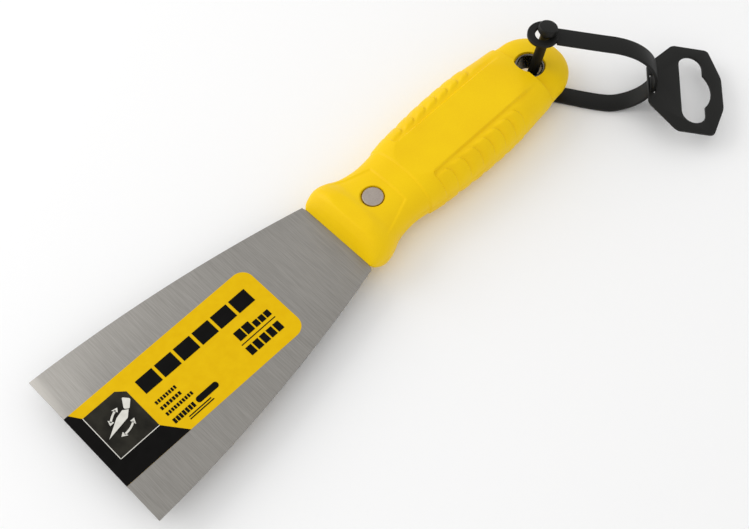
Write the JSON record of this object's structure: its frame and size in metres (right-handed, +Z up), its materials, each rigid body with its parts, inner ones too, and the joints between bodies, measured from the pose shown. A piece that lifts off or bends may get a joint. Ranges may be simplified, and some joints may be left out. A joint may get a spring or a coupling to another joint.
{
  "type": "putty knife",
  "caption": "Flat steel putty knife blade in a riveted two-shell plastic handle, with an eyelet in the tail, a buttoned hang strap and a slotted hang tab.",
  "frame": {"origin": "on the surface that the knife lies on, at the centre of the flat panel on the underside of the handle's grip", "axes": "+X along the tool from the working edge towards the tail, +Y across the blade, +Z up, square to the blade"},
  "size_m": [0.2562, 0.0959, 0.0316],
  "materials": {
    "ground_steel": "ground across the blade",
    "label_film": "printed film",
    "handle_plastic": "satin moulded",
    "rivet_steel": "satin",
    "eyelet_steel": "plated",
    "strap_plastic": "satin moulded"
  },
  "bodies": {
    "knife": {"blade": "ground_steel", "blade_label": "label_film", "handle_upper_shell": "handle_plastic", "handle_lower_shell": "handle_plastic", "rivet_post": "rivet_steel", "rivet_cap": "rivet_steel", "eyelet_barrel": "eyelet_steel", "eyelet_washer": "eyelet_steel"},
    "strap": {"hang_strap": "strap_plastic"},
    "tab": {"hang_tab": "strap_plastic"}
  },
  "joints": [
    {"name": "strap_swivel", "type": "hinge", "parent": "knife", "child": "strap", "pos_m": [0.0355, 0, 0.009], "axis": [0, 0, 1], "range_deg": [-26, 138]},
    {"name": "tab_tilt", "type": "hinge", "parent": "strap", "child": "tab", "pos_m": [0.06127, -0.03581, 0.01038], "axis": [0.7431, 0.6691, 0], "range_deg": [-15, 26]}
  ]
}
